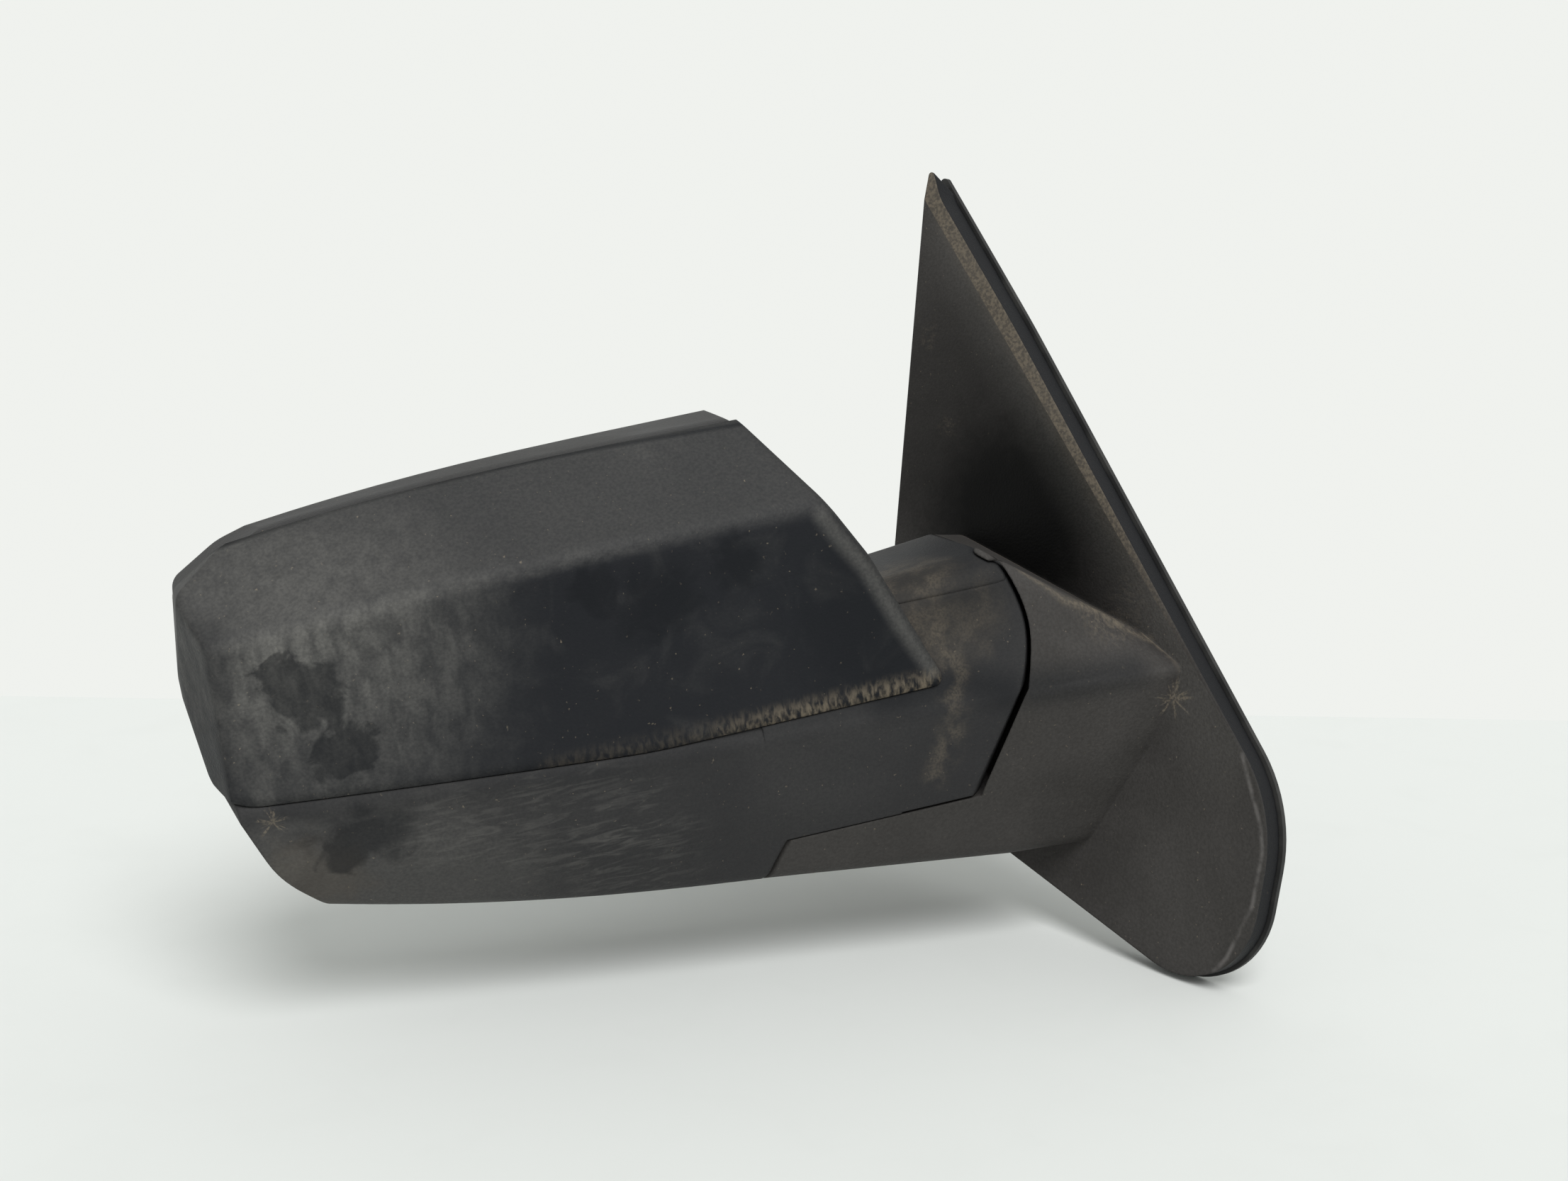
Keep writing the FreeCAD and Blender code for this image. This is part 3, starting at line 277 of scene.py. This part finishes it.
def shell_finish():
    """The lower and rear housings: dry and smeared, with dust on the neck beside the cap and
    painted shade near the lower housing's inboard end.
    """
    m = grained("housing_plastic", (0.021, 0.021, 0.023), 0.08, 0.03, FILM_AND_HIGHLIGHT)
    low, rear = "lower_housing", "rear_housing"
    rough = m.ramp(m.noise(0.0012, 3), 0.40, 0.60, 0.2, 1.0)
    swirl = m.ramp(m.noise(0.006, 5, stretch=(0.35, 0.35, 1.8), twist=1.2), 0.45, 0.70)
    for x, y, z, radius in ((0.213, 0.627, 0.325, 0.040), (0.335, 0.514, 0.283, 0.050),
                            (0.422, 0.489, 0.15, 0.045)):
        m.coat(m.product(m.near(spot(low, x, y, z), radius, 0.03, 0.03), swirl, 0.10), FILM_AND_HIGHLIGHT)
    for x, y, z, radius in ((0.16, 0.76, 0.10, 0.095), (0.012, 0.84, 0.34, 0.036)):
        m.coat(m.product(m.near(spot(low, x, y, z), radius, 0.05, 0.03), m.powder, 0.14), FILM_AND_HIGHLIGHT)
    m.coat(m.product(m.near(spot(low, 0.074, 0.825, 0.271), 0.032, 0.03), 0.28), STAIN)
    oil = m.math("MAXIMUM", m.near(spot(low, 0.126, 0.715, 0.351), 0.022, 0.03),
                 m.near(spot(low, 0.10, 0.75, 0.33), 0.016, 0.03))
    m.coat(m.product(oil, 0.65), CLEAN_AND_SHADE)
    m.coat(m.product(m.rays(spot(low, 0.031, 0.797, 0.428), 0.007), rough, 0.32), DUST)
    ridge = trail(low, (0.05, 0.78, 0.47), (0.34, 0.48, 0.42), (0.72, 0.13, 0.41))
    m.coat(m.product(m.beside(ridge, 0.016), 0.38), CLEAN_AND_SHADE)
    # painted shade along a line near the inboard end of the lower housing
    shade = trail(low, (0.706, 0.150, 0.387), (0.804, 0.066, 0.392), (0.849, 0.014, 0.350))
    m.coat(m.product(m.beside(shade, 0.016), 0.60), CLEAN_AND_SHADE)
    rubbed = m.product(m.ramp(m.noise(0.010, 6), 0.36, 0.62),
                       m.ramp(m.noise(0.0011, 3), 0.35, 0.60, 0.4, 1.0))
    band = trail(low, (0.781, 0.118, 0.528), (0.794, 0.079, 0.412), (0.781, 0.093, 0.27),
                 (0.771, 0.125, 0.188))
    m.coat(m.product(m.beside(band, 0.012), rubbed, 0.18), DUST)
    brushed = m.near(spot(low, 0.81, 0.09, 0.55), 0.034, 0.015)
    m.coat(m.product(brushed, m.powder, 0.07), DUST)
    m.coat(m.product(brushed, rubbed, 0.14), DUST)
    m.coat(m.product(m.near(spot(rear, 0.86, 0.16, 0.61), 0.060, 0.01), 0.72), CLEAN_AND_SHADE)
    top = m.near(spot(rear, 0.80, 0.16, 0.60), 0.034, 0.02)
    m.coat(m.product(top, m.math("ADD", rubbed, 0.35), 0.11), DUST)
    seam = trail(rear, (0.02, 0.84, 0.92), (0.33, 0.61, 0.99), (0.65, 0.34, 0.99))
    m.coat(m.product(m.beside(seam, 0.004), 0.5), CLEAN_AND_SHADE)
    return finish_plastic(m, 0.0022)


SAIL_NORMAL = Vector((-0.96593, 0.0, 0.25882))
SAIL_FACE = 0.0138          # how far along it the sail's outer face stands off the door


def sail_finish():
    """The sail: brownish and worn towards its rim, with painted shade just above the foot."""
    m = grained("sail_plastic", (0.021, 0.0195, 0.0185), 0.140, 0.01, WORN)
    sail = "sail_cover"
    outward = m.facing(SAIL_NORMAL)
    depth = m.vector("DOT_PRODUCT", m.place, tuple(SAIL_NORMAL), "Value")
    face = m.ramp(outward, 0.985, 0.997)
    side = m.product(m.ramp(depth, SAIL_FACE - 0.0001, SAIL_FACE - 0.0010),
                     m.ramp(outward, 0.96, 0.90))
    bevel = m.product(m.ramp(outward, 0.995, 0.982), m.ramp(outward, 0.94, 0.965))
    # painted shade on the sail's face just above the foot, darkest at its middle
    for x, y, z, radius, amount in ((0.82, 0.87, 0.66, 0.085, 0.36),
                                    (0.76, 0.64, 0.53, 0.105, 0.62),
                                    (0.77, 0.66, 0.53, 0.068, 0.95)):
        m.coat(m.product(m.near(spot(sail, x, y, z), radius, 0.02), face, amount), PAINTED_SHADE_BLACK)
    fading = m.ramp(m.height(), spot(sail, 0, 0, 0.36).z, spot(sail, 0, 0, 0.60).z)
    # painted shade along the line where the foot meets the sail
    shade = trail(sail, (0.434, 0.353, 0.404), (0.526, 0.309, 0.398), (0.622, 0.265, 0.395))
    m.coat(m.product(m.beside(shade, 0.016), 0.75), CLEAN_AND_SHADE)
    border = trail(sail, (0.944, 0.886, 0.938), (0.866, 0.648, 0.755), (0.823, 0.482, 0.619),
                   (0.789, 0.344, 0.506), (0.72, 0.13, 0.30))
    m.coat(m.product(m.beside(border, 0.034), face, m.powder, 0.10), FILM_AND_HIGHLIGHT)
    m.coat(m.product(m.beside(border, 0.014), face, fading, m.powder, 0.10), DUST)
    lobe = m.near(spot(sail, 0.61, 0.10, 0.16), 0.085, 0.03, 0.03)
    m.coat(m.product(lobe, m.powder, 0.05), FILM_AND_HIGHLIGHT)
    foot = m.ramp(depth, SAIL_FACE + 0.001, SAIL_FACE + 0.008)
    m.coat(m.product(foot, m.powder, 0.035), FILM_AND_HIGHLIGHT)
    worn = m.ramp(m.noise(0.0016, 3), 0.35, 0.65, 0.35, 1.0)
    m.coat(m.product(bevel, fading, worn, 0.36), DUST)
    m.coat(m.product(side, 0.85), CLEAN_AND_SHADE)
    stroke = m.ramp(m.noise(0.0020, 4, stretch=(1, 0.4, 1), twist=0.5), 0.40, 0.66)
    joint = m.product(m.ramp(depth, SAIL_FACE + 0.0030, SAIL_FACE + 0.0003),
                      m.ramp(depth, SAIL_FACE - 0.0003, SAIL_FACE + 0.0003),
                      m.ramp(outward, 0.97, 0.90),
                      m.ramp(m.height(), spot(sail, 0, 0, 0.37).z, spot(sail, 0, 0, 0.41).z))
    m.coat(m.product(joint, m.ramp(m.noise(0.006, 3), 0.25, 0.6), 0.30), DUST)
    crest = trail(sail, (0.502, 0.414, 0.537), (0.56, 0.367, 0.492), (0.638, 0.35, 0.463),
                  (0.712, 0.297, 0.414))
    m.coat(m.product(m.beside(crest, 0.0045), worn, 0.26), DUST)
    m.coat(m.product(m.near(spot(sail, 0.66, 0.36, 0.46), 0.026, 0.01), stroke, 0.18), DUST)
    rough = m.ramp(m.noise(0.0012, 3), 0.40, 0.60, 0.2, 1.0)
    m.coat(m.product(m.rays(spot(sail, 0.692, 0.233, 0.344), 0.010), rough, 0.32), DUST)
    for x, y, z, radius in ((0.82, 0.852, 0.66, 0.008), (0.868, 0.921, 0.779, 0.008)):
        m.coat(m.product(m.near(spot(sail, x, y, z), radius, 0.012), stroke, rough, 0.09), DUST)
    chips = m.ramp(m.noise(0.009, 5), 0.28, 0.60)
    rim = trail(sail, (0.670, 0.069, 0.290), (0.638, 0.017, 0.209), (0.625, 0.009, 0.179),
                (0.598, 0.022, 0.112), (0.570, 0.071, 0.041), (0.562, 0.097, 0.021))
    m.coat(m.product(m.beside(rim, 0.0018), chips, 0.34), WORN)
    return finish_plastic(m, 0.0016)


# ---- the other finishes ---------------------------------------------------------------------
def metal(name, color, roughness, mottle=0.004):
    """Metal with a faint mottle and fine scratches."""
    m = Finish(name, color, roughness, metallic=1.0)
    cloud = m.noise(mottle, 4, twist=0.4)
    m.coat(m.ramp(cloud, 0.3, 0.7, 0.0, 0.35), tuple(c * 0.45 for c in color))
    return m.close(m.ramp(cloud, 0.2, 0.8, roughness - 0.08, roughness + 0.12),
                   m.noise(mottle / 3, 3, stretch=(1, 1, 0.3)), 0.00004, 0.5)


def rubber():
    """Matt black rubber with a grey bloom."""
    m = Finish("seal_rubber", (0.018, 0.018, 0.018), 0.7, specular=0.3)
    bloom = m.noise(0.02, 4)
    m.coat(m.ramp(bloom, 0.4, 0.75, 0.0, 0.12), FILM_AND_HIGHLIGHT)
    return m.close(m.ramp(bloom, 0.3, 0.7, 0.62, 0.78), m.noise(0.0012, 2), 0.00005, 0.5)


def plain(name, color, roughness=0.45):
    """Clean inner plastic with flow marks."""
    m = Finish(name, color, roughness, specular=0.4)
    flow = m.noise(0.018, 3, stretch=(1, 1, 4), twist=0.4)
    m.coat(m.ramp(flow, 0.3, 0.7, 0.0, 0.3), tuple(min(1.0, c * 1.5 + 0.004) for c in color))
    return m.close(m.ramp(flow, 0.3, 0.7, roughness - 0.06, roughness + 0.08),
                   m.noise(0.0015, 2), 0.00003, 0.4)


def mirror():
    """Silvered glass with faint smears."""
    m = Finish("mirror_silver", (0.86, 0.88, 0.90), 0.02, metallic=1.0)
    smear = m.noise(0.03, 5, twist=1.5)
    m.coat(m.ramp(smear, 0.55, 0.9, 0.0, 0.25), (0.62, 0.62, 0.60))
    return m.close(m.ramp(smear, 0.5, 0.85, 0.015, 0.10), m.noise(0.2, 1), 0.00001, 0.1)


FINISHES = {
    "cap_skin": cap_finish(),
    "shell": shell_finish(),
    "sail_skin": sail_finish(),
    "seal": rubber(),
    "bracket": metal("cast_bracket", (0.60, 0.60, 0.61), 0.5),
    "frame": plain("frame_plastic", (0.030, 0.030, 0.032)),
    "steel": metal("zinc_steel", (0.55, 0.55, 0.56), 0.35),
    "washer": plain("washer_plastic", (0.55, 0.54, 0.50)),
    "drive": plain("drive_plastic", (0.035, 0.035, 0.035)),
    "motor": metal("motor_can", (0.60, 0.60, 0.60), 0.25),
    "drive_white": plain("screw_plastic", (0.70, 0.70, 0.68)),
    "carrier": plain("carrier_plastic", (0.025, 0.025, 0.025)),
    "heater": plain("heater_film", (0.12, 0.06, 0.03)),
    "mirror": mirror(),
}
for part in frame["record"]["subparts"]:
    surface = nodes[part["node"]].data
    surface.materials.clear()
    surface.materials.append(FINISHES[part["material_slot"]])


# ---- camera ---------------------------------------------------------------------------------
CAMERA_AT = (-0.8073, -0.6911, 0.3529)
CAMERA_BACK = (-0.6463, -0.7178, 0.2588)    # from the mirror towards the camera
CAMERA_LEVEL = (0.7431, -0.6691, 0.0)
CAMERA_ROLL = math.radians(-8)
SENSOR_WIDTH = 36
FOCAL_LENGTH = 52.08


def camera():
    """Looks down at the front and outboard side, rolled so that the mirror rests tilted."""
    back = Vector(CAMERA_BACK).normalized()
    level = Vector(CAMERA_LEVEL).normalized()
    above = back.cross(level)
    right = level * math.cos(CAMERA_ROLL) + above * math.sin(CAMERA_ROLL)
    up = above * math.cos(CAMERA_ROLL) - level * math.sin(CAMERA_ROLL)
    data = bpy.data.cameras.new("camera")
    data.sensor_width = SENSOR_WIDTH
    data.lens = FOCAL_LENGTH
    data.clip_end = 20
    eye = bpy.data.objects.new("camera", data)
    turn = Matrix((right, up, back)).transposed().to_4x4()
    eye.matrix_world = Matrix.Translation(CAMERA_AT) @ turn
    bpy.context.scene.collection.objects.link(eye)
    bpy.context.scene.camera = eye
    return right, up, back


RIGHT, UP, BACK = camera()


# ---- studio ---------------------------------------------------------------------------------
FLOOR_BEHIND = 0.215        # how far the floor runs on behind the mirror
FLOOR_FRONT = 4.0
FLOOR_HALF_WIDTH = 4.0
FLOOR_PITCH = math.radians(14)      # of the camera above the floor
FLOOR_SLOPE = math.radians(0.9)     # across the picture


def floor_material():
    """Pale grey-green paint with faint scuffs."""
    m = Finish("floor_paint", (0.74, 0.76, 0.745), 0.8, specular=0.1)
    m.coat(m.ramp(m.noise(0.05, 5, twist=0.6), 0.45, 0.8, 0.0, 0.10), (0.63, 0.65, 0.63))
    return m.close(0.8, m.noise(0.02, 3), 0.0003, 0.3)


def studio():
    """Floor under the sail's lower edge, as level as the camera sees it."""
    vertical = UP * math.cos(FLOOR_SLOPE) + RIGHT * math.sin(FLOOR_SLOPE)
    upright = (vertical * math.cos(FLOOR_PITCH) + BACK * math.sin(FLOOR_PITCH)).normalized()
    toward = (BACK - upright * BACK.dot(upright)).normalized()
    sideways = upright.cross(toward)
    corners = [v.co for node in nodes.values() for v in node.data.vertices]
    lowest = min(c.dot(upright) for c in corners)
    farthest = min(c.dot(toward) for c in corners)
    edge = upright * lowest + toward * (farthest - FLOOR_BEHIND)
    front = edge + toward * (FLOOR_BEHIND + FLOOR_FRONT)
    mesh = bpy.data.meshes.new("floor")
    half = sideways * FLOOR_HALF_WIDTH
    mesh.from_pydata([tuple(p) for p in (edge - half, edge + half, front + half, front - half)],
                     [], [(0, 1, 2, 3)])
    mesh.materials.append(floor_material())
    floor = bpy.data.objects.new("floor", mesh)
    bpy.context.scene.collection.objects.link(floor)
    return upright, toward, sideways


UPRIGHT, TOWARD, SIDEWAYS = studio()


def soft_light(name, direction, width, strength):
    """Even light from this direction, as wide in radians as a studio softbox."""
    data = bpy.data.lights.new(name, "SUN")
    data.angle = width
    data.energy = strength
    lamp = bpy.data.objects.new(name, data)
    lamp.matrix_world = direction.to_track_quat("Z", "Y").to_matrix().to_4x4()
    bpy.context.scene.collection.objects.link(lamp)


soft_light("key", UPRIGHT + TOWARD * 0.75 + SIDEWAYS * 0.2, width=0.56, strength=2.15)


def backdrop(pale, ambient):
    """Pale backdrop for the camera and in reflections, and soft light of strength ambient."""
    world = bpy.data.worlds.new("studio")
    world.use_nodes = True
    tree = world.node_tree
    background = tree.nodes["Background"]
    background.inputs["Color"].default_value = (*pale, 1)
    path = tree.nodes.new("ShaderNodeLightPath")
    seen = path.outputs["Is Camera Ray"]
    for name in ("Is Glossy Ray", "Is Transmission Ray"):
        either = tree.nodes.new("ShaderNodeMath")
        either.operation = "MAXIMUM"
        tree.links.new(seen, either.inputs[0])
        tree.links.new(path.outputs[name], either.inputs[1])
        seen = either.outputs[0]
    strength = tree.nodes.new("ShaderNodeMapRange")
    strength.inputs["To Min"].default_value = ambient
    strength.inputs["To Max"].default_value = 1.0
    tree.links.new(seen, strength.inputs["Value"])
    tree.links.new(strength.outputs["Result"], background.inputs["Strength"])
    bpy.context.scene.world = world


backdrop(pale=(0.87, 0.885, 0.855), ambient=0.69)
bpy.context.scene.view_settings.view_transform = "Standard"
